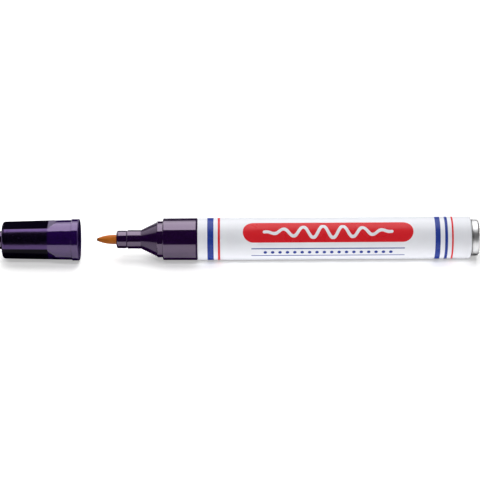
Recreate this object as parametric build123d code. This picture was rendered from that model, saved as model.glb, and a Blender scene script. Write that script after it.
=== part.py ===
from build123d import *
import math
import os

# A felt marker that lies on a table with its cap pulled off and laid in line with it.
# The axis of the pen runs along X, the nib points to -X, and the table is the plane Z = 0.
# All lengths are millimetres and all angles are degrees.

# Barrel, a drawn aluminium can with a narrower tail
BARREL_DIAMETER = 15.0
BARREL_LENGTH = 96.7
BARREL_WALL = 0.45
BARREL_LIP_ROUND = 0.35
SEAT_STEP = 1.05
BARREL_SHOULDER_ROUND = 0.75
TAIL_LENGTH = 2.8
TAIL_FLOOR = 0.9
TAIL_EDGE_ROUND = 0.75
TAIL_GROOVE_WIDTH = 0.4
TAIL_GROOVE_DEPTH = 0.2

# Grip section, one moulding from the nose to the spigot inside the barrel
GRIP_LENGTH = 12.3
GRIP_DRAFT = 0.35
GRIP_EDGE_ROUND = 0.5
COLLAR_LENGTH = 2.0
COLLAR_STEP = 0.3
COLLAR_BEVEL = 0.15
CONE_LENGTH = 5.8
NOSE_DIAMETER = 6.6
NOSE_LAND_LENGTH = 4.75
NOSE_TIP_LENGTH = 3.9
NOSE_TIP_STEP = 0.15
NOSE_EDGE_ROUND = 0.7
NOSE_GROOVE_WIDTH = 0.4
NOSE_GROOVE_DEPTH = 0.2
SECTION_WALL = 1.2
SPIGOT_LENGTH = 8.0
SPIGOT_GAP = 0.2
SPIGOT_LEAD = 0.6
SEAL_RIB_COUNT = 3
SEAL_RIB_WIDTH = 0.8
SEAL_CLEARANCE = 0.02

# Channel that holds the nib
NIB_VENT = 0.35
NIB_CLEARANCE = 0.03
NOSE_MOUTH_LENGTH = 1.2
FIN_COUNT = 6
FIN_THICKNESS = 0.6

# Nib
NIB_DIAMETER = 3.35
NIB_EXPOSED = 7.1
NIB_TAPER_LENGTH = 6.0
NIB_TIP_ROUND = 0.6
NIB_PLUNGE = 7.0
NIB_BACK_CHAMFER = 0.6

# Ink reservoir, a fibre rod in a film
FILM_THICKNESS = 0.12
FILM_CLEARANCE = 0.02
RESERVOIR_CLEARANCE = 0.08
RESERVOIR_END_GAP = 0.1
RESERVOIR_SETBACK = 2.0

# Cap
CAP_GAP = 6.0
CAP_CLEARANCE = 0.06
CAP_SEAT_GAP = 0.1
CAP_SKIRT_WALL = 0.7
CAP_DRAFT = 1.36
CAP_RIM_LENGTH = 2.7
CAP_RIM_HEIGHT = 0.2
CAP_RIM_BEVEL = 0.12
CAP_END_WALL = 2.4
CAP_END_ROUND = 1.0
CAP_BORE_SPARE = 0.4
CAP_MOUTH_BEVEL = 0.2
CAP_MOUTH_ROUND = 0.35
CAP_SKIRT_LENGTH = 8.3
FLAT_COUNT = 3
FLAT_ARC = 56.0
FLAT_TURN = -2.6
FLAT_RAMP_LENGTH = 2.7
FLAT_EDGE_BEVEL = 0.1
FLAT_WALL = 0.95

# Cap liner, the sleeve that closes round the nose
LINER_CLEARANCE = 0.05
LINER_WALL = 0.8
LINER_FLOOR = 0.7
LINER_FLANGE = 1.3
LINER_LEAD = 0.4
LINER_SETBACK = 0.8
LINER_FIT = 0.02
NIB_ROOM = 0.6
STUD_DIAMETER = 6.4
STUD_PROUD = 1.5
STUD_BEVEL = 0.3

# Radii that several pieces share
barrel_radius = BARREL_DIAMETER / 2
barrel_bore = barrel_radius - BARREL_WALL
seat_radius = barrel_radius - SEAT_STEP
tail_bore = seat_radius - BARREL_WALL
nose_radius = NOSE_DIAMETER / 2
nose_tip_radius = nose_radius - NOSE_TIP_STEP
cone_end_radius = seat_radius - COLLAR_STEP
cone_slope = (cone_end_radius - nose_radius) / CONE_LENGTH
nib_radius = NIB_DIAMETER / 2
film_radius = tail_bore - RESERVOIR_CLEARANCE
core_radius = film_radius - FILM_THICKNESS - FILM_CLEARANCE
chamber_radius = film_radius + RESERVOIR_CLEARANCE
cap_bore = seat_radius + CAP_CLEARANCE
cap_skirt_radius = cap_bore + CAP_SKIRT_WALL
liner_bore = nose_radius + LINER_CLEARANCE
liner_radius = liner_bore + LINER_WALL

# Stations along X, counted from the closed end of the cap and then centred on the whole length
cap_seat_depth = NIB_EXPOSED + NOSE_TIP_LENGTH + NOSE_LAND_LENGTH + CONE_LENGTH + COLLAR_LENGTH
cap_length = cap_seat_depth + NIB_ROOM + LINER_FLOOR + CAP_END_WALL
pen_length = cap_seat_depth + GRIP_LENGTH + BARREL_LENGTH + TAIL_LENGTH
whole_length = STUD_PROUD + cap_length + CAP_GAP + pen_length
cap_end_x = STUD_PROUD - whole_length / 2
cap_mouth_x = cap_end_x + cap_length
nib_tip_x = cap_mouth_x + CAP_GAP
nose_front_x = nib_tip_x + NIB_EXPOSED
nose_land_x = nose_front_x + NOSE_TIP_LENGTH
cone_x = nose_land_x + NOSE_LAND_LENGTH
collar_x = cone_x + CONE_LENGTH
shoulder_x = collar_x + COLLAR_LENGTH
lip_x = shoulder_x + GRIP_LENGTH
spigot_end_x = lip_x + SPIGOT_LENGTH
step_x = lip_x + BARREL_LENGTH
tail_x = step_x + TAIL_LENGTH
chamber_x = shoulder_x + RESERVOIR_SETBACK
nib_back_x = chamber_x + RESERVOIR_END_GAP + NIB_PLUNGE
axis_height = barrel_radius


def turned(*corners):
    """Turn a closed outline about the X axis, from corners given as (x, radius, rounding)."""
    points = [(x, radius) for x, radius, rounding in corners]
    roundings = [rounding for x, radius, rounding in corners]
    outline = FilletPolyline(points, radius=roundings, close=True)
    return revolve(Plane.XZ * make_face(outline), Axis.X)


def rod(start_x, end_x, radius):
    """Plain round bar on the X axis."""
    return turned((start_x, 0, 0), (start_x, radius, 0), (end_x, radius, 0), (end_x, 0, 0))


def make_barrel():
    """One-piece can: open lip at the grip, rounded shoulder, groove, and a narrower tail with a floor."""
    groove_radius = seat_radius - min(TAIL_GROOVE_DEPTH, 0.5 * BARREL_WALL)
    groove_end_x = step_x + min(TAIL_GROOVE_WIDTH, 0.3 * TAIL_LENGTH)
    return turned(
        (lip_x, barrel_bore, 0),
        (lip_x, barrel_radius, min(BARREL_LIP_ROUND, 0.8 * BARREL_WALL)),
        (step_x, barrel_radius, min(BARREL_SHOULDER_ROUND, 0.8 * SEAT_STEP)),
        (step_x, groove_radius, 0),
        (groove_end_x, groove_radius, 0),
        (groove_end_x, seat_radius, 0),
        (tail_x, seat_radius, min(TAIL_EDGE_ROUND, 0.6 * TAIL_LENGTH)),
        (tail_x, 0, 0),
        (tail_x - TAIL_FLOOR, 0, 0),
        (tail_x - TAIL_FLOOR, tail_bore, 0),
        (step_x - BARREL_WALL, tail_bore, 0),
        (step_x - BARREL_WALL, barrel_bore, 0),
    )


def make_grip_section():
    """Nose, cone, collar and grip in one moulding, with a ribbed spigot and fins that hold the nib."""
    grip_front_radius = barrel_radius - GRIP_LENGTH * math.tan(math.radians(GRIP_DRAFT))
    spigot_radius = barrel_bore - SPIGOT_GAP
    shoulder_round = min(GRIP_EDGE_ROUND, 0.4 * SEAT_STEP)
    lip_round = min(GRIP_EDGE_ROUND, 0.8 * (barrel_radius - spigot_radius))
    collar_bevel = min(COLLAR_BEVEL, 0.5 * COLLAR_STEP)
    groove_x = nose_land_x - min(NOSE_GROOVE_WIDTH, 0.3 * NOSE_TIP_LENGTH)
    groove_radius = nose_tip_radius - NOSE_GROOVE_DEPTH
    outside = turned(
        (nose_front_x, 0, 0),
        (nose_front_x, nose_tip_radius, NOSE_EDGE_ROUND),
        (groove_x, nose_tip_radius, 0),
        (groove_x, groove_radius, 0),
        (nose_land_x, groove_radius, 0),
        (nose_land_x, nose_radius, 0),
        (cone_x, nose_radius, 0),
        (collar_x, cone_end_radius, 0),
        (collar_x, seat_radius - collar_bevel, 0),
        (collar_x + collar_bevel, seat_radius, 0),
        (shoulder_x, seat_radius, 0),
        (shoulder_x, grip_front_radius, shoulder_round),
        (lip_x, barrel_radius, lip_round),
        (lip_x, spigot_radius, 0),
        (spigot_end_x - SPIGOT_LEAD, spigot_radius, 0),
        (spigot_end_x, spigot_radius - SPIGOT_LEAD, 0),
        (spigot_end_x, 0, 0),
    )
    for index in range(SEAL_RIB_COUNT):
        outside += seal_rib(lip_x + (index + 1) * SPIGOT_LENGTH / (SEAL_RIB_COUNT + 1), spigot_radius)
    return outside - section_hollow()


def seal_rib(middle_x, spigot_radius):
    """Ring on the spigot that seals against the bore of the barrel."""
    half_foot = SEAL_RIB_WIDTH / 2
    half_top = SEAL_RIB_WIDTH / 4
    rib_radius = barrel_bore - SEAL_CLEARANCE
    root_radius = spigot_radius - SPIGOT_GAP
    return turned(
        (middle_x - half_foot, root_radius, 0),
        (middle_x - half_foot, spigot_radius, 0),
        (middle_x - half_top, rib_radius, 0),
        (middle_x + half_top, rib_radius, 0),
        (middle_x + half_foot, spigot_radius, 0),
        (middle_x + half_foot, root_radius, 0),
    )


def section_hollow():
    """Room inside the grip section: nib channel, funnel and reservoir chamber, less the nib fins."""
    channel_radius = nib_radius + NIB_VENT
    bore_radius = nib_radius + NIB_CLEARANCE
    funnel_radius = seat_radius - SECTION_WALL
    wall_across = SECTION_WALL * math.hypot(1, cone_slope)
    funnel_start_x = cone_x + (channel_radius + wall_across - nose_radius) / cone_slope
    funnel_end_x = funnel_start_x + (funnel_radius - channel_radius) / cone_slope
    channel_x = nose_front_x + NOSE_MOUTH_LENGTH
    past_end_x = spigot_end_x + SPIGOT_LEAD
    room = turned(
        (channel_x, 0, 0),
        (channel_x, channel_radius, 0),
        (funnel_start_x, channel_radius, 0),
        (funnel_end_x, funnel_radius, 0),
        (chamber_x, funnel_radius, 0),
        (chamber_x, chamber_radius, 0),
        (past_end_x, chamber_radius, 0),
        (past_end_x, 0, 0),
    )
    fin_length = chamber_x - channel_x
    blade = Box(fin_length, FIN_THICKNESS, chamber_radius)
    fin = Pos(channel_x + fin_length / 2, 0, chamber_radius / 2) * blade
    for index in range(FIN_COUNT):
        room -= Rot(X=index * 360 / FIN_COUNT) * fin
    return room + rod(nose_front_x - NIB_EXPOSED, past_end_x, bore_radius)


def make_nib():
    """Fibre rod whose ogive front ends in a ball, each arc running smoothly into the next."""
    reach = NIB_TAPER_LENGTH - NIB_TIP_ROUND
    ogive_radius = (reach**2 + nib_radius**2 - NIB_TIP_ROUND**2) / (2 * (nib_radius - NIB_TIP_ROUND))
    ogive_centre = Vector(nib_tip_x + NIB_TAPER_LENGTH, nib_radius - ogive_radius)
    ball_centre = Vector(nib_tip_x + NIB_TIP_ROUND, 0)
    meeting = ball_centre + (ball_centre - ogive_centre).normalized() * NIB_TIP_ROUND
    taper_end = Vector(nib_tip_x + NIB_TAPER_LENGTH, nib_radius)
    half_way = (meeting + taper_end) / 2 - ogive_centre
    ball_side = (meeting + Vector(nib_tip_x, 0)) / 2 - ball_centre
    outline = Curve() + [
        ThreePointArc((nib_tip_x, 0), ball_centre + ball_side.normalized() * NIB_TIP_ROUND, meeting),
        ThreePointArc(meeting, ogive_centre + half_way.normalized() * ogive_radius, taper_end),
        Polyline(
            taper_end,
            (nib_back_x - NIB_BACK_CHAMFER, nib_radius),
            (nib_back_x, nib_radius - NIB_BACK_CHAMFER),
            (nib_back_x, 0),
            (nib_tip_x, 0),
        ),
    ]
    return revolve(Plane.XZ * make_face(outline), Axis.X)


def make_reservoir_core():
    """Ink-soaked fibre rod with a pocket where the back of the nib has been pushed in."""
    front_x = chamber_x + RESERVOIR_END_GAP
    core = rod(front_x, tail_x - TAIL_FLOOR - RESERVOIR_END_GAP, core_radius)
    return core - rod(chamber_x, nib_back_x + RESERVOIR_END_GAP, nib_radius + NIB_CLEARANCE)


def make_reservoir_film():
    """Thin wrap round the fibre rod, open at both ends."""
    front_x = chamber_x + RESERVOIR_END_GAP
    back_x = tail_x - TAIL_FLOOR - RESERVOIR_END_GAP
    film_bore = core_radius + FILM_CLEARANCE
    return turned(
        (front_x, film_bore, 0),
        (front_x, film_radius, 0),
        (back_x, film_radius, 0),
        (back_x, film_bore, 0),
    )


def cap_radius(x):
    """Outer radius of the cap's drafted round surface at a station."""
    return cap_skirt_radius - (cap_mouth_x - x) * math.tan(math.radians(CAP_DRAFT))


def make_cap_shell():
    """Drafted round cap with long flats that ramp out into the skirt, a rim, and a stepped bore."""
    rim_x = cap_mouth_x - CAP_RIM_LENGTH
    rim_radius = cap_skirt_radius + CAP_RIM_HEIGHT
    rim_bevel = min(CAP_RIM_BEVEL, 0.6 * CAP_RIM_HEIGHT)
    shell = turned(
        (cap_end_x, 0, 0),
        (cap_end_x, cap_radius(cap_end_x), CAP_END_ROUND),
        (rim_x, cap_radius(rim_x), 0),
        (rim_x, rim_radius - rim_bevel, 0),
        (rim_x + rim_bevel, rim_radius, 0),
        (cap_mouth_x, rim_radius, min(CAP_MOUTH_ROUND, 0.5 * CAP_SKIRT_WALL)),
        (cap_mouth_x, 0, 0),
    )
    for index in range(FLAT_COUNT):
        shell -= Rot(X=FLAT_TURN + index * 360 / FLAT_COUNT) * flat_cutter()
    shell = chamfer(flat_edges(shell), FLAT_EDGE_BEVEL)
    return shell - cap_hollow()


def flat_cutter():
    """Block above one flat and its ramp. The flat lies in a plane through the apex of the draft cone."""
    share = math.cos(math.radians(FLAT_ARC / 2))
    before_x = cap_end_x - CAP_END_ROUND
    ramp_end_x = cap_mouth_x - CAP_SKIRT_LENGTH
    ramp_x = ramp_end_x - FLAT_RAMP_LENGTH
    ramp_rise = cap_radius(ramp_end_x) - share * cap_radius(ramp_x)
    above = cap_skirt_radius + ramp_rise
    above_x = ramp_x + (above - share * cap_radius(ramp_x)) * FLAT_RAMP_LENGTH / ramp_rise
    side = Polyline(
        (before_x, share * cap_radius(before_x)),
        (ramp_x, share * cap_radius(ramp_x)),
        (above_x, above),
        (before_x, above),
        close=True,
    )
    return extrude(Plane.XZ * make_face(side), cap_skirt_radius, both=True)


def flat_edges(shell):
    """Edges round the flats and their ramps, without the bend line between a flat and its ramp."""
    planes = [face for face in shell.faces().filter_by(GeomType.PLANE) if abs(face.normal_at().X) < 0.5]
    edges = ShapeList()
    for face in planes:
        edges += [edge for edge in face.edges() if edge not in edges]
    bends = edges.filter_by(GeomType.LINE).filter_by(lambda edge: abs(edge.tangent_at(0).X) < 0.1)
    return [edge for edge in edges if edge not in bends]


def cap_hollow():
    """Bore of the cap: sleeve for the collar or the tail, cone, room for the liner, and its stud hole."""
    sleeve_x = cap_mouth_x - max(COLLAR_LENGTH, TAIL_LENGTH) - CAP_BORE_SPARE
    inner_radius = cap_inner_radius()
    cone_back_x = sleeve_x - (cap_bore - inner_radius) / cone_slope
    past_mouth_x = cap_mouth_x + CAP_MOUTH_BEVEL
    hollow = turned(
        (cap_end_x + CAP_END_WALL, 0, 0),
        (cap_end_x + CAP_END_WALL, inner_radius, 0),
        (cone_back_x, inner_radius, 0),
        (sleeve_x, cap_bore, 0),
        (cap_mouth_x - CAP_MOUTH_BEVEL, cap_bore, 0),
        (past_mouth_x, cap_bore + 2 * CAP_MOUTH_BEVEL, 0),
        (past_mouth_x, 0, 0),
    )
    return hollow + rod(cap_end_x - CAP_END_ROUND, cap_end_x + CAP_END_WALL, STUD_DIAMETER / 2 + LINER_FIT)


def cap_inner_radius():
    """Bore of the cap behind its flats, one wall inside them where they are lowest."""
    return math.cos(math.radians(FLAT_ARC / 2)) * cap_radius(cap_end_x) - FLAT_WALL


def make_cap_liner():
    """Sealing sleeve with a flange that fills the cap's end and a stud that shows through its end wall."""
    floor_x = cap_end_x + CAP_END_WALL
    mouth_x = cap_mouth_x - COLLAR_LENGTH - CONE_LENGTH - LINER_SETBACK
    flange_radius = cap_inner_radius() - LINER_FIT
    return turned(
        (cap_end_x - STUD_PROUD, 0, 0),
        (cap_end_x - STUD_PROUD, STUD_DIAMETER / 2 - STUD_BEVEL, 0),
        (cap_end_x - STUD_PROUD + STUD_BEVEL, STUD_DIAMETER / 2, 0),
        (floor_x, STUD_DIAMETER / 2, 0),
        (floor_x, flange_radius, 0),
        (floor_x + LINER_FLANGE, flange_radius, 0),
        (floor_x + LINER_FLANGE, liner_radius, 0),
        (mouth_x, liner_radius, 0),
        (mouth_x, liner_bore + LINER_LEAD, 0),
        (mouth_x - LINER_LEAD, liner_bore, 0),
        (floor_x + LINER_FLOOR, liner_bore, 0),
        (floor_x + LINER_FLOOR, 0, 0),
    )


pieces = {
    "barrel": make_barrel(),
    "grip_section": make_grip_section(),
    "nib": make_nib(),
    "reservoir_core": make_reservoir_core(),
    "reservoir_film": make_reservoir_film(),
    "cap_shell": make_cap_shell(),
    "cap_liner": make_cap_liner(),
}

os.makedirs("parts", exist_ok=True)
for name, piece in pieces.items():
    export_step(Pos(0, 0, axis_height) * piece, f"parts/{name}.step")
print("whole length", round(whole_length, 2), "cap length", round(cap_length, 2))
print("cap travel to its seat", round(CAP_GAP + cap_seat_depth - CAP_SEAT_GAP, 2))
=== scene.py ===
"""Finishes, fibre nib, barrel print and a small studio for a felt marker that lies with its cap off.

The packed part is the frame, and it stays where it is. The pen's axis runs along X, and the nib points
to -X. Blender's lengths are metres. The finishes work in millimetres, which suit the size of the pen.
"""

import math

import bmesh
import bpy
from bpy.props import FloatProperty, FloatVectorProperty, IntProperty, PointerProperty
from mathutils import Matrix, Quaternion, Vector, noise


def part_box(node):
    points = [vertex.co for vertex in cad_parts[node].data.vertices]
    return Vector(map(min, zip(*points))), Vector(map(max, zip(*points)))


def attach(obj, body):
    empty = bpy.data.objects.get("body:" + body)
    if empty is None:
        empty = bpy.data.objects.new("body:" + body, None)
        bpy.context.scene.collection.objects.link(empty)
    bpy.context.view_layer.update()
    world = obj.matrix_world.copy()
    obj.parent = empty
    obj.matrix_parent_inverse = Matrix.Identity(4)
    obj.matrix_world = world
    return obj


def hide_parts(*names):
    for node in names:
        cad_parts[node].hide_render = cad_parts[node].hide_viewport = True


bl_info = {
    "name": "Felt Marker",
    "version": (1, 0, 0),
    "blender": (4, 5, 0),
    "location": "3D View > Sidebar > Marker",
    "description": "Finishes an uncapped felt marker and sets up its studio",
    "category": "Object",
}

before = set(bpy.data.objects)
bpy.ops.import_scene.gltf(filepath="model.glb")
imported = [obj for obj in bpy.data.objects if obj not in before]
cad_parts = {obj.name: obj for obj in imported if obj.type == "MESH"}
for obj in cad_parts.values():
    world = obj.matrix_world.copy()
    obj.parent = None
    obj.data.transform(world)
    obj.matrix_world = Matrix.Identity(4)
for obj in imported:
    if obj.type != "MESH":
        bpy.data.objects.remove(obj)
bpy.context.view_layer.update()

MM = 0.001
barrel_low, barrel_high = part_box("barrel")
cap_low, cap_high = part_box("cap_shell")
nib_low, nib_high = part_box("nib")
AXIS_HEIGHT = (barrel_low.z + barrel_high.z) / 2
BARREL_RADIUS = (barrel_high.z - barrel_low.z) / 2
NIB_RADIUS = (nib_high.z - nib_low.z) / 2
NIB_LENGTH = nib_high.x - nib_low.x
VIEW_ELEVATION = math.radians(30)

# Printed rings, in millimetres: from the barrel's lip to the middle of the ring, and its width.
NAVY_RINGS = ((4.6, 2.2), (84.6, 1.8), (87.6, 1.0))
RED_RINGS = ((7.6, 0.8), (89.8, 0.6))

# Soft edges of the print and of most other finishes, in millimetres.
INK_EDGE = 0.06
SOFT_EDGE = 0.1

CAP_FLATS = 3

# Rings of the nib's mesh. Those of the taper crowd towards the tip.
TAPER_RINGS = 44
ROD_RINGS = 30
TIP_CROWDING = 1.7

# The nib's bundles come from noise that is read on a circle of this radius and drifts with each
# millimetre. The steeper it is, the sooner the skin falls away beside a bundle's crest.
BUNDLE_CIRCLE = 11
BUNDLE_DRIFT = 0.3
BUNDLE_STEEPNESS = 1.6

# Studio, in metres. The floor turns plain white to the camera from its lit part outwards.
FLOOR_HALF = 3.0
FLOOR_LIT = 0.25
FLOOR_WHITE = 1.2
# A black sheet of painted shade under the pen, which only mirrors show.
SHADE_SHEET_LOW = (-0.12, -0.006)
SHADE_SHEET_HIGH = (0.12, 0.054)
SHADE_SHEET_HEIGHT = 0.0001
CARD_RUN = 0.139
CARD_DEPTH = 0.08
CARD_PLACE = (0.0325, -0.044, 0.0002)
SENSOR_WIDTH = 36.0

BLACK = (0, 0, 0)
WHITE = (1, 1, 1)


def colour(name, description, default):
    """A colour that a user may change."""
    return FloatVectorProperty(
        name=name, description=description, default=default, size=3, min=0, max=1, subtype="COLOR"
    )


def length(name, description, millimetres):
    """A length that a user may change, given in millimetres and kept in metres."""
    return FloatProperty(
        name=name,
        description=description,
        default=millimetres * MM,
        precision=5,
        unit="LENGTH",
        subtype="DISTANCE",
    )


def share(name, description, default):
    """A number from 0 to 1 that a user may change."""
    return FloatProperty(
        name=name, description=description, default=default, min=0, max=1, subtype="FACTOR"
    )


def angle(name, description, degrees):
    """An angle that a user may change, given in degrees and kept in radians."""
    return FloatProperty(
        name=name,
        description=description,
        default=math.radians(degrees),
        unit="ROTATION",
        subtype="ANGLE",
    )


def strength(name, description, default):
    """The brightness of a lamp's face, where 1 is white."""
    return FloatProperty(name=name, description=description, default=default, min=0)


class MarkerLacquer(bpy.types.PropertyGroup):
    """Barrel lacquer and the bare metal of the tail"""

    white: colour("Lacquer", "White lacquer on the barrel", (0.85, 0.86, 0.91))
    metal: colour("Aluminium", "Bare drawn aluminium of the tail", (0.82, 0.82, 0.83))
    gloss: share("Roughness", "Roughness of the lacquer", 0.2)
    mirror: share("Mirror", "How strongly the lacquer mirrors", 0.2)
    metal_gloss: share("Metal roughness", "Roughness of the bare metal", 0.46)
    depth: length("Lacquer depth", "How far the lacquer reaches inwards over the lip", 0.3)
    tail_length: length("Bare tail", "Length of the tail that the lacquer leaves bare", 2.9)
    # The tail's groove below is painted dark on the bare metal: painted shade.
    groove_place: length("Groove place", "From the end of the tail to the middle of its groove", 2.6)
    groove_width: length("Groove width", "Width of the groove where dust gathers", 0.4)
    peel: length("Orange peel", "Depth of the ripple in the lacquer", 0.0012)


class MarkerPrint(bpy.types.PropertyGroup):
    """Two-colour print on the lacquer"""

    red: colour("Red ink", "Colour of the panel and the thin rings", (0.70, 0.006, 0.014))
    navy: colour("Navy ink", "Colour of the wide rings, the lines and the dots", (0.010, 0.036, 0.29))
    panel_start: length("Panel start", "From the barrel's lip to the panel", 16.0)
    panel_length: length("Panel length", "Length of the rounded panel", 60.0)
    panel_height: length("Panel height", "Height of the panel round the barrel", 7.6)
    panel_turn: angle("Panel turn", "Turn of the panel from the side that faces the camera", -18)
    wave_pitch: length("Wave pitch", "Distance from crest to crest", 7.0)
    wave_height: length("Wave height", "Height of the tallest crest", 2.1)
    wave_stroke: length("Wave stroke", "Thickness of the wave's line", 1.15)
    line_drop: length("Line drop", "From the panel's middle to the row of dots between the lines", 7.7)
    line_gap: length("Line gap", "From the middle of one line to the middle of the other", 3.2)
    line_width: length("Line width", "Thickness of the two lines under the panel", 0.4)
    line_inset: length("Line inset", "How far the lines end short of the panel's ends", 3.0)
    dot_radius: length("Dot radius", "Radius of each dot", 0.62)
    dot_pitch: length("Dot pitch", "Distance between the dots", 2.6)
    dot_inset: length("Dot inset", "How far the dots end short of the lines' ends", 4.0)


class MarkerPlastic(bpy.types.PropertyGroup):
    """Dark purple mouldings"""

    grip: colour("Grip", "Plastic of the grip section", (0.012, 0.0004, 0.028))
    # The cap's two colours are lit and shaded copies of one plastic: the skirt's violet is painted
    # light shining through its thin wall, and the core's near-black is painted shade from the liner
    # behind.
    skirt: colour("Cap skirt", "Cap where its wall is thin", (0.014, 0.0006, 0.060))
    core: colour("Cap core", "Cap where its liner is behind the wall", (0.0014, 0.0006, 0.0045))
    liner: colour("Liner", "Soft sleeve inside the cap", (0.010, 0.003, 0.018))
    grip_sheen: colour("Grip sheen", "Tint of what the grip mirrors", (0.94, 0.76, 1.0))
    cap_sheen: colour("Cap sheen", "Tint of what the cap's skirt mirrors", (0.80, 0.60, 1.0))
    land_sheen: colour("Land sheen", "Tint of what the cap's lands mirror", (0.60, 0.36, 1.0))
    gloss: share("Roughness", "Roughness of the moulded skin", 0.07)
    satin: share("Satin roughness", "Roughness of the cap's flats", 0.13)
    flat_mirror: share("Flat mirror", "How strongly the cap's flats mirror", 0.02)
    land_haze: share("Land haze", "Roughness that the lands between the flats have besides", 0.12)
    skirt_length: length("Thin skirt", "From the cap's mouth to the end of its flats", 11.0)
    end_round: length("End round", "Polished edge at the cap's closed end, where the flats stop", 0.3)
    rim_width: length("Rim width", "Worn edge at the cap's mouth", 0.45)
    rim_wear: share("Rim wear", "Roughness that the worn edge has besides", 0.4)
    groove_place: length("Groove place", "From the nib's tip to the middle of the nose's groove", 10.8)
    groove_width: length("Groove width", "Width of the groove where dust gathers", 0.4)
    cone_place: length("Cone place", "From the nib's tip to the middle of the satin cone", 18.65)
    cone_length: length("Cone length", "Length of the satin cone behind the nose", 5.8)
    cone_haze: share("Cone haze", "Roughness that the cone has besides", 0.07)
    cone_mirror: share("Cone mirror", "How strongly the cone mirrors", 0.55)
    # The seam's dimmed mirror below is painted shade, for the dark line where the grip's edge meets the
    # barrel's lip.
    seam_width: length("Seam width", "Dull edge of the grip against the barrel's lip", 0.6)
    seam_mirror: share("Seam mirror", "How strongly that dull edge mirrors", 0.08)
    flat_turn: angle("Flat turn", "Turn of the first flat from the side that faces the camera", -62.6)
    flat_arc: angle("Flat arc", "Turn that each flat takes up", 56)
    ripple: length("Ripple", "Depth of the slight waves in the skin", 0.0015)


class MarkerNib(bpy.types.PropertyGroup):
    """Bonded fibre nib"""

    fibre: colour("Fibre", "Colour of the dry fibres", (0.66, 0.19, 0.018))
    resin: colour("Resin", "Darker resin between the fibres", (0.40, 0.095, 0.004))
    stain: colour("Stain", "Used tip", (0.13, 0.05, 0.025))
    mirror: share("Mirror", "How strongly the fibres mirror", 0.3)
    taper: length("Taper", "Length of the rounded front", 6.0)
    tip_round: length("Tip radius", "Radius of the very tip", 0.6)
    back_bevel: length("Back bevel", "Bevel at the back end", 0.6)
    groove: length("Groove", "Depth of the grooves between the fibres", 0.05)
    fuzz: length("Fuzz", "Depth of the single fibres in the skin", 0.03)
    segments: IntProperty(name="Segments", description="Faces round the nib", default=120, min=24)


class MarkerStore(bpy.types.PropertyGroup):
    """Ink store inside the barrel"""

    fibre: colour("Fibre", "Soaked fibre rod", (0.74, 0.74, 0.70))
    film: colour("Film", "Wrap round the rod", (0.72, 0.74, 0.78))
    strand: length("Strand", "Depth of the strands in the rod", 0.05)
    crease: length("Crease", "Depth of the creases in the film", 0.02)


class MarkerStudio(bpy.types.PropertyGroup):
    """Floor, lamps and camera"""

    floor: colour("Floor", "Pale floor", (0.90, 0.90, 0.90))
    floor_glow: share("Floor glow", "Light from the floor itself, straight or mirrored", 0.42)
    room: share("Room", "Brightness of the room round the set", 0.02)
    top: strength("Top lamp", "Brightness of the large lamp overhead", 3.2)
    back: strength("Back lamp", "Brightness of the low strip behind", 2.1)
    fill: strength("Fill", "Brightness of the strip high in front, which nothing mirrors", 5.2)
    side: strength("Side lamp", "Brightness of the lamp at the nib's end", 1.7)
    kicker: strength("Kicker", "Brightness of the small lamp behind the cap", 0.9)
    card: strength("Card", "Brightness of the white card on the table in front", 0.74)
    elevation: angle("Elevation", "Height of the camera above the table", math.degrees(VIEW_ELEVATION))
    roll: angle("Roll", "Tilt of the picture", 0.33)
    distance: length("Distance", "From the camera to the pen", 690)
    width: length("Width", "Width of the picture at the pen", 170.4)
    aim: length("Aim", "How far below the pen's axis the camera aims", 0.46)
    aside: length("Aside", "How far the camera stands from the middle towards the tail", 0.57)


class Wire:
    """A shader socket that works in Python sums. Each operator adds a Math node."""

    def __init__(self, recipe, socket):
        self.recipe = recipe
        self.socket = socket

    def maths(self, operation, *values):
        return self.recipe.node("ShaderNodeMath", {"operation": operation}, dict(enumerate(values)))

    def __add__(self, other):
        return self.maths("ADD", self, other)

    def __radd__(self, other):
        return self.maths("ADD", other, self)

    def __sub__(self, other):
        return self.maths("SUBTRACT", self, other)

    def __rsub__(self, other):
        return self.maths("SUBTRACT", other, self)

    def __mul__(self, other):
        return self.maths("MULTIPLY", self, other)

    def __rmul__(self, other):
        return self.maths("MULTIPLY", other, self)

    def __truediv__(self, other):
        return self.maths("DIVIDE", self, other)

    def __mod__(self, other):
        return self.maths("FLOORED_MODULO", self, other)

    def __abs__(self):
        return self.maths("ABSOLUTE", self)

    def at_least(self, other):
        return self.maths("MAXIMUM", self, other)

    def at_most(self, other):
        return self.maths("MINIMUM", self, other)

    def root(self):
        return self.maths("SQRT", self)

    def sine(self):
        return self.maths("SINE", self)

    def cosine(self):
        return self.maths("COSINE", self)

    def output(self, name):
        """Another output of the same node."""
        return Wire(self.recipe, self.socket.node.outputs[name])


def scaled(base, factor):
    """A colour made darker or lighter."""
    return tuple(factor * part for part in base)


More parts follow.
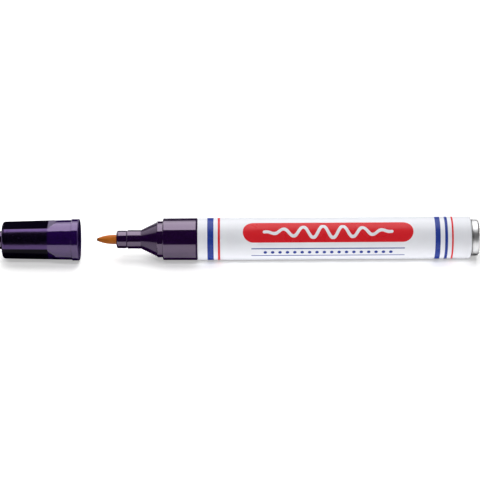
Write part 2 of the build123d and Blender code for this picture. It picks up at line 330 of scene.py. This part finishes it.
class Recipe:
    """The node tree of a material or of the world."""

    def __init__(self, owner):
        owner.use_nodes = True
        self.owner = owner
        self.tree = owner.node_tree
        self.tree.nodes.clear()

    def node(self, kind, settings=None, sockets=None, output=0):
        """Add a node, set it up, then fill or link its sockets. Gives one of its outputs."""
        made = self.tree.nodes.new(kind)
        for key, value in (settings or {}).items():
            setattr(made, key, value)
        for key, value in (sockets or {}).items():
            self.feed(made.inputs[key], value)
        return Wire(self, made.outputs[output]) if made.outputs else None

    def feed(self, socket, value):
        """Link a socket, or set its value."""
        if isinstance(value, Wire):
            self.tree.links.new(value.socket, socket)
        elif socket.type == "RGBA":
            socket.default_value = (*value, 1.0)
        else:
            socket.default_value = value

    def blend(self, factor, first, second):
        """Colour that goes from the first to the second."""
        return self.node(
            "ShaderNodeMix", {"data_type": "RGBA"}, {0: factor, 6: first, 7: second}, output=2
        )

    def vary(self, pattern, base, low, high=1.0):
        """Colour that a pattern makes darker or lighter, from the low factor to the high one."""
        return self.blend(pattern, scaled(base, low), scaled(base, high))

    def noise(self, vector, scale, detail=2.0):
        """Noise whose scale is in cycles per unit of the vector."""
        return self.node(
            "ShaderNodeTexNoise", None, {"Vector": vector, "Scale": scale, "Detail": detail}
        )

    def streaks(self, x, y, z, detail):
        """Stretched noise. Each coordinate comes multiplied by its own cycles per millimetre."""
        return self.noise(self.node("ShaderNodeCombineXYZ", None, {0: x, 1: y, 2: z}), 1.0, detail)

    def ramp(self, value, low, high):
        """0 at the low value, 1 at the high one, and a smooth step between them."""
        return self.node(
            "ShaderNodeMapRange",
            {"interpolation_type": "SMOOTHSTEP"},
            {"Value": value, "From Min": low, "From Max": high},
        )

    def inside(self, distance, softness):
        """1 where a distance is below nought, 0 above, with a soft edge."""
        return self.ramp(distance, softness / 2, -softness / 2)

    def bump(self, height, depth):
        """Relief of a depth in metres."""
        return self.node("ShaderNodeBump", None, {"Height": height, "Distance": depth, "Strength": 1.0})

    def shader(self, sockets):
        return self.node("ShaderNodeBsdfPrincipled", None, sockets)

    def mix_shaders(self, factor, first, second):
        return self.node("ShaderNodeMixShader", None, {0: factor, 1: first, 2: second})

    def surface(self, shader):
        """The finished material."""
        self.node("ShaderNodeOutputMaterial", None, {"Surface": shader})
        return self.owner


class Place:
    """Where a point lies on the pen, in millimetres: along the axis, round it and out from it.

    The turn round the axis is in radians, from the side that faces the camera and growing downwards.
    """

    def __init__(self, recipe):
        self.recipe = recipe
        metres = recipe.node("ShaderNodeTexCoord", output="Object")
        self.spot = recipe.node(
            "ShaderNodeVectorMath", {"operation": "SCALE"}, {0: metres, "Scale": 1 / MM}
        )
        self.along = recipe.node("ShaderNodeSeparateXYZ", None, {0: self.spot})
        across = self.along.output("Y")
        up = self.along.output("Z") - AXIS_HEIGHT / MM
        towards = up * math.sin(VIEW_ELEVATION) - across * math.cos(VIEW_ELEVATION)
        below = across * -math.sin(VIEW_ELEVATION) - up * math.cos(VIEW_ELEVATION)
        self.turn = below.maths("ARCTAN2", below, towards)
        self.out = (across * across + up * up).root()
        self.girth = self.turn * (BARREL_RADIUS / MM)

    def before(self, end, softness=SOFT_EDGE):
        """1 on the cap's side of a place on the axis, which is given in metres."""
        return self.recipe.inside(self.along - end / MM, softness)

    def behind(self, start, softness=SOFT_EDGE):
        """1 on the tail's side of a place on the axis, which is given in metres."""
        return self.recipe.inside(start / MM - self.along, softness)

    def band(self, middle, width):
        """1 on a band round the pen, whose middle and width are given in metres."""
        return self.recipe.inside(abs(self.along - middle / MM) - width / MM / 2, SOFT_EDGE)


def new_recipe(name):
    return Recipe(bpy.data.materials.new(name))


def finish_node(name, material):
    """Put a material on a node of the frame."""
    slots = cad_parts[name].material_slots
    if not slots:
        raise RuntimeError(f"{name} has no material slot")
    for slot in slots:
        slot.material = material


def nearest(distances):
    """The smallest of some distances."""
    first, *others = distances
    for other in others:
        first = first.at_most(other)
    return first


def print_masks(recipe, place, ink):
    """Where the red and the navy of the print lie, each from 0 to 1. The wave is left white."""
    panel_height = ink.panel_height / MM
    half_panel = ink.panel_length / MM / 2
    from_lip = place.along - barrel_low.x / MM
    from_middle = from_lip - (ink.panel_start / MM + half_panel)
    rise = place.girth - ink.panel_turn * BARREL_RADIUS / MM
    run = (abs(from_middle) - (half_panel - panel_height / 2)).at_least(0.0)
    panel = (run * run + rise * rise).root() - panel_height / 2

    half_wave = half_panel - panel_height
    frequency = 2 * math.pi / (ink.wave_pitch / MM)
    phase = from_middle * frequency
    reach = from_middle / half_wave
    swell = (1 - reach * reach).at_least(0.0) * (ink.wave_height / MM)
    slope = swell * frequency * phase.cosine()
    aside = (rise - swell * phase.sine()) / (1 + slope * slope).root()
    past = (abs(from_middle) - half_wave).at_least(0.0)
    wave = (aside * aside + past * past).root() - ink.wave_stroke / MM / 2

    half_lines = half_panel - ink.line_inset / MM
    half_dots = half_lines - ink.dot_inset / MM
    drop = rise - ink.line_drop / MM
    lines = abs(abs(drop) - ink.line_gap / MM / 2) - ink.line_width / MM / 2
    lines = lines.at_least(abs(from_middle) - half_lines)
    pitch = ink.dot_pitch / MM
    step = (from_middle % pitch) - pitch / 2
    dots = (step * step + drop * drop).root() - ink.dot_radius / MM
    dots = dots.at_least(abs(from_middle) - half_dots)

    navy_rings = [abs(from_lip - start) - width / 2 for start, width in NAVY_RINGS]
    red_rings = [abs(from_lip - start) - width / 2 for start, width in RED_RINGS]
    # The edge of the ink wanders by a few hundredths of a millimetre.
    wobble = (recipe.noise(place.spot, 9.0) - 0.5) * 0.05
    red = recipe.inside(nearest([panel, *red_rings]) + wobble, INK_EDGE)
    navy = recipe.inside(nearest([lines, dots, *navy_rings]) + wobble, INK_EDGE)
    white = recipe.inside(wave + wobble, INK_EDGE)
    return red * (1 - white), navy


def barrel_finish(lacquer, ink):
    """White lacquer with its print, bare metal at the tail, inside and at the cut of the lip, and
    painted shade in the tail's groove.
    """
    recipe = new_recipe("white_lacquer")
    place = Place(recipe)
    red, navy = print_masks(recipe, place, ink)
    cloud = recipe.noise(place.spot, 0.25)
    grain = recipe.noise(place.spot, 14.0)
    peel = recipe.noise(place.spot, 0.9, detail=1.0)
    draw_lines = recipe.streaks(place.along * 9.0, place.out * 3.2, place.turn * 0.3, detail=3.0)

    lacquer_end = barrel_high.x - lacquer.tail_length
    ragged = (recipe.noise(place.spot, 3.0) - 0.5) * 0.12
    tail = recipe.inside(lacquer_end / MM + ragged - place.along, 0.08)
    bore = recipe.inside(place.out - (BARREL_RADIUS - lacquer.depth) / MM, 0.05)
    bare = tail.at_least(bore * place.before(lacquer_end))

    white = recipe.vary(cloud, lacquer.white, 0.955)
    cover = 0.97 + 0.03 * grain
    inked = recipe.blend(red * cover, white, ink.red)
    inked = recipe.blend(navy * cover, inked, ink.navy)
    metal = recipe.vary(draw_lines, lacquer.metal, 0.66, 1.2)
    # Painted shade: the bare metal is painted much darker in the tail's groove.
    groove = place.band(barrel_high.x - lacquer.groove_place, lacquer.groove_width)
    metal = recipe.blend(groove * 0.75, metal, scaled(lacquer.metal, 0.12))
    painted_gloss = lacquer.gloss + 0.06 * cloud + 0.05 * red.at_least(navy)
    metal_gloss = lacquer.metal_gloss * (0.7 + 0.6 * draw_lines)
    shader = recipe.shader(
        {
            "Base Color": recipe.blend(bare, inked, metal),
            "Metallic": bare,
            "Roughness": painted_gloss * (1 - bare) + metal_gloss * bare,
            "IOR": 1.5,
            "Specular IOR Level": lacquer.mirror,
            "Normal": recipe.bump(peel * (1 - bare) + draw_lines * bare, lacquer.peel),
        }
    )
    return recipe.surface(shader)


def flow_lines(recipe, place):
    """Faint lines that the melt leaves along a moulding."""
    return recipe.streaks(place.along * 0.12, place.girth * 0.5, place.out, detail=3.0)


def plastic_sockets(recipe, place, plastic, flow, base, sheen):
    """Glossy moulded plastic with flow lines, scuffs, slight waves and dust in the nose's groove."""
    scuffs = recipe.streaks(place.along * 0.7, place.girth * 6.0, place.out, detail=4.0)
    haze = (scuffs - 0.56).at_least(0.0) * 0.5
    waves = recipe.noise(place.spot, 0.32, detail=1.0)
    groove = place.band(nib_low.x + plastic.groove_place, plastic.groove_width)
    return {
        "Base Color": base,
        "Roughness": plastic.gloss + 0.03 * flow + haze + 0.7 * groove,
        "IOR": 1.6,
        "Specular IOR Level": 1.0,
        "Specular Tint": sheen,
        "Normal": recipe.bump(waves, plastic.ripple),
    }


def grip_finish(plastic):
    """Polished grip, collar and nose, a satin cone between them and a seam against the barrel whose
    mirror is dimmed as painted shade.
    """
    recipe = new_recipe("purple_plastic")
    place = Place(recipe)
    flow = flow_lines(recipe, place)
    base = recipe.vary(flow, plastic.grip, 0.7, 1.25)
    polished = plastic_sockets(recipe, place, plastic, flow, base, plastic.grip_sheen)
    satin = {
        **polished,
        "Roughness": polished["Roughness"] + plastic.cone_haze,
        "Specular IOR Level": plastic.cone_mirror,
    }
    # Painted shade: along the seam the mirror is dimmed almost to nothing, and the skin is a little
    # rougher.
    shaded = {**satin, "Specular IOR Level": plastic.seam_mirror}
    cone = place.band(nib_low.x + plastic.cone_place, plastic.cone_length)
    seam = place.behind(barrel_low.x - plastic.seam_width)
    moulded = recipe.mix_shaders(cone, recipe.shader(polished), recipe.shader(satin))
    return recipe.surface(recipe.mix_shaders(seam, moulded, recipe.shader(shaded)))


def cap_finish(plastic):
    """Polished skirt painted violet as if lit through, hazy dark lands between the flats, and satin
    flats that hardly mirror.
    """
    recipe = new_recipe("purple_plastic_cap")
    place = Place(recipe)
    flow = flow_lines(recipe, place)
    flats_end = cap_high.x - plastic.skirt_length
    # Painted light and shade: the thin skirt is painted a brighter violet as if lit through, and the
    # wall in front of the liner near-black.
    shaded_thick_wall = recipe.vary(flow, plastic.core, 0.7, 1.3)
    lit_thin_wall = recipe.vary(flow, plastic.skirt, 0.75, 1.2)
    base = recipe.blend(place.behind(flats_end, 0.4), shaded_thick_wall, lit_thin_wall)
    skirt = plastic_sockets(recipe, place, plastic, flow, base, plastic.cap_sheen)
    rim = place.behind(cap_high.x - plastic.rim_width)
    skirt["Roughness"] = skirt["Roughness"] + plastic.rim_wear * rim
    land = {
        **skirt,
        "Roughness": skirt["Roughness"] + plastic.land_haze,
        "Specular Tint": plastic.land_sheen,
    }
    flat = {**skirt, "Roughness": plastic.satin, "Specular IOR Level": plastic.flat_mirror}

    pitch = 2 * math.pi / CAP_FLATS
    from_flat = abs((place.turn - plastic.flat_turn + pitch / 2) % pitch - pitch / 2)
    facing = recipe.inside(from_flat - plastic.flat_arc / 2, math.radians(2))
    upper = place.before(flats_end, 0.2)
    flats = facing * upper * place.behind(cap_low.x + plastic.end_round, 0.2)
    moulded = recipe.mix_shaders(upper, recipe.shader(skirt), recipe.shader(land))
    return recipe.surface(recipe.mix_shaders(flats, moulded, recipe.shader(flat)))


def liner_finish(plastic):
    """The soft plastic of the cap's inner sleeve."""
    recipe = new_recipe("liner_plastic")
    place = Place(recipe)
    flow = flow_lines(recipe, place)
    base = recipe.vary(flow, plastic.liner, 0.7, 1.25)
    sockets = plastic_sockets(recipe, place, plastic, flow, base, plastic.cap_sheen)
    return recipe.surface(recipe.shader(sockets))


class MARKER_OT_barrel(bpy.types.Operator):
    """Lacquer and print the barrel, and leave its tail bare"""

    bl_idname = "marker.barrel"
    bl_label = "Barrel"

    def execute(self, context):
        scene = context.scene
        finish_node("barrel", barrel_finish(scene.marker_lacquer, scene.marker_print))
        return {"FINISHED"}


class MARKER_OT_grip(bpy.types.Operator):
    """Give the grip section its dark plastic"""

    bl_idname = "marker.grip"
    bl_label = "Grip Section"

    def execute(self, context):
        finish_node("grip_section", grip_finish(context.scene.marker_plastic))
        return {"FINISHED"}


class MARKER_OT_cap(bpy.types.Operator):
    """Give the cap its dark plastic, which is painted violet as if lit through where its wall is thin,
    and its liner
    """

    bl_idname = "marker.cap"
    bl_label = "Cap and Liner"

    def execute(self, context):
        plastic = context.scene.marker_plastic
        finish_node("cap_shell", cap_finish(plastic))
        finish_node("cap_liner", liner_finish(plastic))
        return {"FINISHED"}


def nib_radius(run, nib):
    """Radius of the nib at a distance from its tip: a ball, an ogive, a rod and a bevelled end."""
    reach = nib.taper - nib.tip_round
    ogive = (reach**2 + NIB_RADIUS**2 - nib.tip_round**2) / (2 * (NIB_RADIUS - nib.tip_round))
    ball_end = nib.tip_round * (1 - reach / (ogive - nib.tip_round))
    if run < ball_end:
        return math.sqrt(max(nib.tip_round**2 - (nib.tip_round - run) ** 2, 0))
    if run < nib.taper:
        return math.sqrt(ogive**2 - (nib.taper - run) ** 2) + NIB_RADIUS - ogive
    return min(NIB_RADIUS, NIB_RADIUS - nib.back_bevel + NIB_LENGTH - run)


def nib_stations(nib):
    """Distances from the tip at which the nib's rings lie."""
    rod = NIB_LENGTH - nib.back_bevel - nib.taper
    curved = [nib.taper * (step / TAPER_RINGS) ** TIP_CROWDING for step in range(1, TAPER_RINGS + 1)]
    straight = [nib.taper + rod * step / ROD_RINGS for step in range(1, ROD_RINGS + 1)]
    return [*curved, *straight, NIB_LENGTH]


def nib_ring(form, run, nib):
    """One ring of the nib's points, with a groove between each bundle of fibres and the next."""
    radius = nib_radius(run, nib)
    depth = nib.groove * min(1.0, radius / NIB_RADIUS)
    ring = []
    for index in range(nib.segments):
        turn = 2 * math.pi * index / nib.segments
        across = math.cos(turn)
        up = math.sin(turn)
        spot = Vector((BUNDLE_CIRCLE * across, BUNDLE_CIRCLE * up, BUNDLE_DRIFT * run / MM))
        skin = radius - depth * min(1.0, BUNDLE_STEEPNESS * abs(noise.noise(spot)))
        ring.append(form.verts.new((nib_low.x + run, skin * across, AXIS_HEIGHT + skin * up)))
    return ring


def nib_mesh(nib):
    """Bullet nib with modelled bundles of fibres, closed at its tip and at its back."""
    form = bmesh.new()
    rings = [nib_ring(form, run, nib) for run in nib_stations(nib)]
    tip = form.verts.new((nib_low.x, 0, AXIS_HEIGHT))
    for index in range(nib.segments):
        after = (index + 1) % nib.segments
        form.faces.new((tip, rings[0][index], rings[0][after]))
        for near, far in zip(rings, rings[1:]):
            form.faces.new((near[index], far[index], far[after], near[after]))
    form.faces.new(rings[-1])
    bmesh.ops.recalc_face_normals(form, faces=form.faces)
    mesh = bpy.data.meshes.new("fibre_nib")
    form.to_mesh(mesh)
    form.free()
    mesh.shade_smooth()
    return mesh


def nib_finish(nib):
    """Amber fibres in darker resin, stained at the very tip."""
    recipe = new_recipe("nib_fibre")
    place = Place(recipe)
    fibres = recipe.node(
        "ShaderNodeVectorMath", {"operation": "MULTIPLY"}, {0: place.spot, 1: (0.35, 5.0, 5.0)}
    )
    streak = recipe.noise(fibres, 1.0, detail=4.0)
    fleck = recipe.noise(place.spot, 5.0, detail=3.0)
    body = recipe.blend(streak, nib.resin, nib.fibre)
    from_tip = place.along - nib_low.x / MM
    stained = recipe.inside(from_tip - 0.75 - 1.1 * (fleck - 0.5), 0.9)
    shader = recipe.shader(
        {
            "Base Color": recipe.blend(stained * 0.8, body, nib.stain),
            "Roughness": 0.58 - 0.1 * stained + 0.2 * (streak - 0.5),
            "IOR": 1.45,
            "Specular IOR Level": nib.mirror,
            "Normal": recipe.bump(streak, nib.fuzz),
        }
    )
    return recipe.surface(shader)


class MARKER_OT_nib(bpy.types.Operator):
    """Build the nib with modelled fibres in place of the plain one"""

    bl_idname = "marker.nib"
    bl_label = "Fibre Nib"

    def execute(self, context):
        nib = context.scene.marker_nib
        piece = bpy.data.objects.new("fibre_nib", nib_mesh(nib))
        context.scene.collection.objects.link(piece)
        piece.data.materials.append(nib_finish(nib))
        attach(piece, "pen")
        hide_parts("nib")
        return {"FINISHED"}


def fibre_finish(store):
    """Soft fibre rod with long strands."""
    recipe = new_recipe("ink_fibre")
    place = Place(recipe)
    strands = recipe.streaks(place.along * 0.2, place.girth * 5.0, place.out * 5.0, detail=4.0)
    shader = recipe.shader(
        {
            "Base Color": recipe.vary(strands, store.fibre, 0.72),
            "Roughness": 0.8 + 0.15 * strands,
            "Normal": recipe.bump(strands, store.strand),
        }
    )
    return recipe.surface(shader)


def film_finish(store):
    """Thin wrap with faint creases."""
    recipe = new_recipe("wrap_film")
    place = Place(recipe)
    creases = recipe.streaks(place.along * 0.6, place.girth * 0.9, place.out, detail=4.0)
    shader = recipe.shader(
        {
            "Base Color": recipe.vary(creases, store.film, 0.85),
            "Roughness": 0.22 + 0.2 * creases,
            "Normal": recipe.bump(creases, store.crease),
        }
    )
    return recipe.surface(shader)


class MARKER_OT_store(bpy.types.Operator):
    """Give the ink store its fibre and its film"""

    bl_idname = "marker.store"
    bl_label = "Ink Store"

    def execute(self, context):
        store = context.scene.marker_store
        finish_node("reservoir_core", fibre_finish(store))
        finish_node("reservoir_film", film_finish(store))
        return {"FINISHED"}


def add_sheet(scene, name, low, high, height, material):
    """Level rectangle from its low corner to its high one."""
    corners = (low, (high[0], low[1]), high, (low[0], high[1]))
    form = bmesh.new()
    form.faces.new([form.verts.new((*corner, height)) for corner in corners])
    mesh = bpy.data.meshes.new(name)
    form.to_mesh(mesh)
    form.free()
    mesh.materials.append(material)
    sheet = bpy.data.objects.new(name, mesh)
    scene.collection.objects.link(sheet)
    return sheet


def floor_finish(studio):
    """Pale floor that keeps the shadow. It glows a little where it is seen, straight or mirrored.

    Far from the lamps it is plain white to the camera.
    """
    recipe = new_recipe("floor")
    straight = recipe.node("ShaderNodeLightPath", output="Is Camera Ray")
    mirrored = straight.output("Is Glossy Ray")
    seen = straight.at_least(mirrored).at_least(straight.output("Is Transmission Ray"))
    spot = recipe.node("ShaderNodeTexCoord", output="Object")
    mottle = recipe.noise(spot, 6.0)
    away = recipe.node("ShaderNodeVectorMath", {"operation": "LENGTH"}, {0: spot}, output="Value")
    far = recipe.ramp(away, FLOOR_LIT, FLOOR_WHITE)
    glow = recipe.blend(seen, BLACK, scaled(WHITE, studio.floor_glow))
    shader = recipe.shader(
        {
            "Base Color": recipe.vary(mottle, studio.floor, 0.99),
            "Roughness": 0.9,
            "Specular IOR Level": 0.0,
            "Emission Color": recipe.blend(far * straight, glow, WHITE),
            "Emission Strength": 1.0,
        }
    )
    return recipe.surface(shader)


def add_floor(scene, studio):
    corner = (FLOOR_HALF, FLOOR_HALF)
    floor = add_sheet(scene, "floor", (-FLOOR_HALF, -FLOOR_HALF), corner, 0, floor_finish(studio))


def add_shade_sheet(scene):
    """Black sheet of painted shade under the pen that only mirrors show, so that its gloss has a dark
    lower edge.
    """
    recipe = new_recipe("shade_sheet")
    black = recipe.shader({"Base Color": BLACK, "Roughness": 1.0, "Specular IOR Level": 0.0})
    shade_sheet = add_sheet(scene, "shade_sheet", SHADE_SHEET_LOW, SHADE_SHEET_HIGH, SHADE_SHEET_HEIGHT, recipe.surface(black))
    shade_sheet.visible_camera = False
    shade_sheet.visible_diffuse = False
    shade_sheet.visible_shadow = False


def area_lamp(scene, name, brightness, run, depth):
    """Flat lamp with a face of this size and brightness."""
    light = bpy.data.lights.new(name, "AREA")
    light.shape = "RECTANGLE"
    light.size = run
    light.size_y = depth
    light.energy = brightness * math.pi * run * depth
    lamp = bpy.data.objects.new(name, light)
    scene.collection.objects.link(lamp)
    return lamp


def add_lamp(scene, name, brightness, rise, spread, distance, run, turn=0):
    """Lamp that faces the pen. Its angles are in degrees and its lengths in metres.

    Rise is the angle of its middle from the horizon behind the pen, turn swings it round from there,
    and spread is half of the angle that its depth takes up.
    """
    lamp = area_lamp(scene, name, brightness, run, 2 * distance * math.tan(math.radians(spread)))
    away = Vector((0, math.cos(math.radians(rise)), math.sin(math.radians(rise))))
    away.rotate(Quaternion((0, 0, 1), math.radians(turn)))
    lamp.location = Vector((0, 0, AXIS_HEIGHT)) + away * distance
    lamp.rotation_euler = (math.radians(rise) - math.pi / 2, 0, math.radians(turn))
    return lamp


def add_lamps(scene, studio):
    add_lamp(scene, "top_lamp", studio.top, rise=72, spread=27, distance=0.55, run=0.5)
    add_lamp(scene, "back_lamp", studio.back, rise=38, spread=7, distance=0.8, run=0.7)
    fill = add_lamp(scene, "front_fill", studio.fill, rise=118, spread=5, distance=1.2, run=1.2)
    fill.visible_glossy = False
    add_lamp(scene, "side_lamp", studio.side, rise=37, spread=9, distance=0.6, run=0.6, turn=56)
    add_lamp(scene, "kicker", studio.kicker, rise=15, spread=6, distance=0.8, run=0.2, turn=22)


def add_card(scene, studio):
    """White card on the table in front of the pen, which throws light under it."""
    card = area_lamp(scene, "card", studio.card, CARD_RUN, CARD_DEPTH)
    card.location = CARD_PLACE
    card.rotation_euler = (math.pi, 0, 0)
    card.visible_camera = False
    card.visible_glossy = False


def set_world(scene, studio):
    """Dim room that is white where the camera looks past the floor."""
    scene.world = bpy.data.worlds.new("room")
    recipe = Recipe(scene.world)
    seen = recipe.node("ShaderNodeLightPath", output="Is Camera Ray")
    shade = recipe.blend(seen, scaled(WHITE, studio.room), WHITE)
    background = recipe.node("ShaderNodeBackground", None, {"Color": shade, "Strength": 1.0})
    recipe.node("ShaderNodeOutputWorld", None, {"Surface": background})


def add_camera(scene, studio):
    back = Vector((0, -math.cos(studio.elevation), math.sin(studio.elevation)))
    upright = Vector((0, math.sin(studio.elevation), math.cos(studio.elevation)))
    target = Vector((studio.aside, 0, AXIS_HEIGHT)) - upright * studio.aim
    data = bpy.data.cameras.new("camera")
    data.sensor_width = SENSOR_WIDTH
    data.lens = SENSOR_WIDTH * studio.distance / studio.width
    camera = bpy.data.objects.new("camera", data)
    camera.location = target + back * studio.distance
    camera.rotation_mode = "QUATERNION"
    tilt = Quaternion((0, 0, 1), -studio.roll)
    camera.rotation_quaternion = (-back).to_track_quat("-Z", "Y") @ tilt
    scene.collection.objects.link(camera)
    scene.camera = camera


class MARKER_OT_stage(bpy.types.Operator):
    """Set up the floor, the lamps, the room and the camera"""

    bl_idname = "marker.stage"
    bl_label = "Stage"

    def execute(self, context):
        scene = context.scene
        studio = scene.marker_studio
        scene.view_settings.view_transform = "Standard"
        add_floor(scene, studio)
        add_shade_sheet(scene)
        add_lamps(scene, studio)
        add_card(scene, studio)
        set_world(scene, studio)
        add_camera(scene, studio)
        return {"FINISHED"}


PIECES = (
    MARKER_OT_barrel,
    MARKER_OT_grip,
    MARKER_OT_nib,
    MARKER_OT_store,
    MARKER_OT_cap,
    MARKER_OT_stage,
)
SETTINGS = {
    "marker_lacquer": MarkerLacquer,
    "marker_print": MarkerPrint,
    "marker_plastic": MarkerPlastic,
    "marker_nib": MarkerNib,
    "marker_store": MarkerStore,
    "marker_studio": MarkerStudio,
}


class MARKER_PT_sidebar(bpy.types.Panel):
    """Steps and settings of the marker"""

    bl_idname = "MARKER_PT_sidebar"
    bl_label = "Felt Marker"
    bl_space_type = "VIEW_3D"
    bl_region_type = "UI"
    bl_category = "Marker"

    def draw(self, context):
        for piece in PIECES:
            self.layout.operator(piece.bl_idname)
        for key, group in SETTINGS.items():
            box = self.layout.box()
            box.label(text=group.__doc__)
            for name in group.__annotations__:
                box.prop(getattr(context.scene, key), name)


def register():
    for group in SETTINGS.values():
        bpy.utils.register_class(group)
    for key, group in SETTINGS.items():
        setattr(bpy.types.Scene, key, PointerProperty(type=group))
    for piece in PIECES:
        bpy.utils.register_class(piece)
    bpy.utils.register_class(MARKER_PT_sidebar)


def unregister():
    bpy.utils.unregister_class(MARKER_PT_sidebar)
    for piece in reversed(PIECES):
        bpy.utils.unregister_class(piece)
    for key, group in SETTINGS.items():
        delattr(bpy.types.Scene, key)
        bpy.utils.unregister_class(group)


def main():
    register()
    bpy.ops.marker.barrel()
    bpy.ops.marker.grip()
    bpy.ops.marker.nib()
    bpy.ops.marker.store()
    bpy.ops.marker.cap()
    bpy.ops.marker.stage()


if __name__ == "__main__":
    main()
